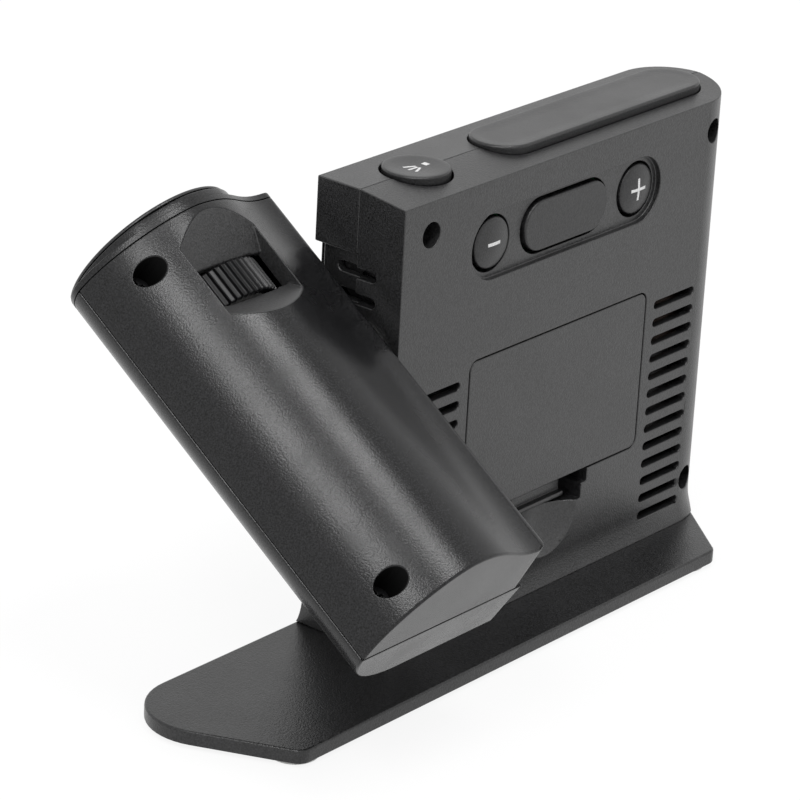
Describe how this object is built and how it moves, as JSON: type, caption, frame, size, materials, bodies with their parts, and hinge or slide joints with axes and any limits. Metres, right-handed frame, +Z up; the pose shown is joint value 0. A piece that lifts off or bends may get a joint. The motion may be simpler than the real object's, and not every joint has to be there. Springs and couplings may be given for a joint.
{
  "type": "projection alarm clock",
  "caption": "Upright projection alarm clock on a slim base plate, with a front display, top snooze bar, rear keys and a tilting projector arm at one end.",
  "frame": {"origin": "on the table plane, under the middle of the whole clock's length and depth with the arm tilted as shown", "axes": "+X along the body towards the projector arm, -Y towards the display, +Z up; the arm is drawn tilted 55.2 degrees from upright with its lens to the front"},
  "size_m": [0.1518, 0.0872, 0.095],
  "materials": {
    "black_plastic": "fine texture",
    "button_plastic": "satin",
    "window_plastic": "gloss",
    "lcd_glass": "gloss",
    "clear_plastic": "gloss",
    "white_plastic": "matte",
    "circuit_board": "satin",
    "steel": "plain",
    "black_screws": "black oxide",
    "foot_rubber": "matte",
    "ferrite": "matte",
    "copper_coil": "wound wire",
    "lens_glass": "polished",
    "cell_jacket": "plain",
    "wire_jacket": "satin"
  },
  "bodies": {
    "clock": {"base_plate": "black_plastic", "rubber_feet": "foot_rubber", "base_screws": "black_screws", "rear_housing": "black_plastic", "front_housing": "black_plastic", "housing_screws": "black_screws", "display_window": "window_plastic", "lcd_panel": "lcd_glass", "light_guide": "clear_plastic", "display_frame": "white_plastic", "main_board": "circuit_board", "board_screws": "steel", "top_board": "circuit_board", "key_board": "circuit_board", "sounder": "button_plastic", "ferrite_rod": "ferrite", "antenna_coil": "copper_coil", "dc_jack": "button_plastic", "main_lead": "wire_jacket", "battery_contacts": "steel", "battery_springs": "steel", "cell_upper": "cell_jacket", "cell_lower": "cell_jacket"},
    "cover": {"battery_cover": "black_plastic"},
    "snooze": {"snooze_bar": "button_plastic"},
    "beam_button": {"projection_button": "button_plastic"},
    "minus": {"minus_key": "button_plastic"},
    "set": {"set_key": "button_plastic"},
    "plus": {"plus_key": "button_plastic"},
    "projector": {"arm_front_shell": "black_plastic", "arm_rear_shell": "black_plastic", "arm_screws": "black_screws", "arm_end_cap": "black_plastic", "end_ring": "button_plastic", "pivot_shaft": "button_plastic", "thrust_washer": "white_plastic", "wave_washer": "steel", "pivot_clip": "steel", "lamp_board": "circuit_board", "lamp_housing": "white_plastic", "condenser_lens": "lens_glass", "lamp_lead": "wire_jacket", "lens_tube": "button_plastic"},
    "picture_wheel": {"rotate_wheel": "button_plastic", "slide_panel": "lcd_glass"},
    "focus": {"focus_ring": "button_plastic"},
    "lens_carrier": {"lens_barrel": "button_plastic", "projection_lens": "lens_glass"}
  },
  "joints": [
    {"name": "projector_tilt", "type": "hinge", "parent": "clock", "child": "projector", "pos_m": [0.0279, -0.00814, 0.0604], "axis": [1, 0, 0], "range_deg": [-55.2, 34.8]},
    {"name": "picture_turn", "type": "hinge", "parent": "projector", "child": "picture_wheel", "pos_m": [0.0515, -0.00688, 0.06221], "axis": [0, -0.8212, 0.5707], "range_deg": [-90, 90]},
    {"name": "focus_turn", "type": "hinge", "parent": "projector", "child": "focus", "pos_m": [0.0515, -0.00688, 0.06221], "axis": [0, -0.8212, 0.5707], "range_deg": [-60, 60]},
    {"name": "lens_slide", "type": "slide", "parent": "projector", "child": "lens_carrier", "axis": [0, -0.8212, 0.5707], "range_m": [-0.0014, 0.0014]},
    {"name": "cover_hinge", "type": "hinge", "parent": "clock", "child": "cover", "pos_m": [-0.0209, 0.00266, 0.0577], "axis": [1, 0, 0], "range_deg": [0, 80]},
    {"name": "snooze_press", "type": "slide", "parent": "clock", "child": "snooze", "axis": [0, 0, -1], "range_m": [0, 0.0006], "stiffness_N_per_m": 1200, "springref_m": -0.0006},
    {"name": "beam_press", "type": "slide", "parent": "clock", "child": "beam_button", "axis": [0, 0, -1], "range_m": [0, 0.0006], "stiffness_N_per_m": 1000, "springref_m": -0.0006},
    {"name": "minus_press", "type": "slide", "parent": "clock", "child": "minus", "axis": [0, -1, 0], "range_m": [0, 0.0007], "stiffness_N_per_m": 1000, "springref_m": -0.0006},
    {"name": "set_press", "type": "slide", "parent": "clock", "child": "set", "axis": [0, -1, 0], "range_m": [0, 0.0007], "stiffness_N_per_m": 1000, "springref_m": -0.0006},
    {"name": "plus_press", "type": "slide", "parent": "clock", "child": "plus", "axis": [0, -1, 0], "range_m": [0, 0.0007], "stiffness_N_per_m": 1000, "springref_m": -0.0006}
  ],
  "couplings": [
    {"joint": "focus_turn", "follows": "lens_slide", "rad_per_m": 747}
  ]
}
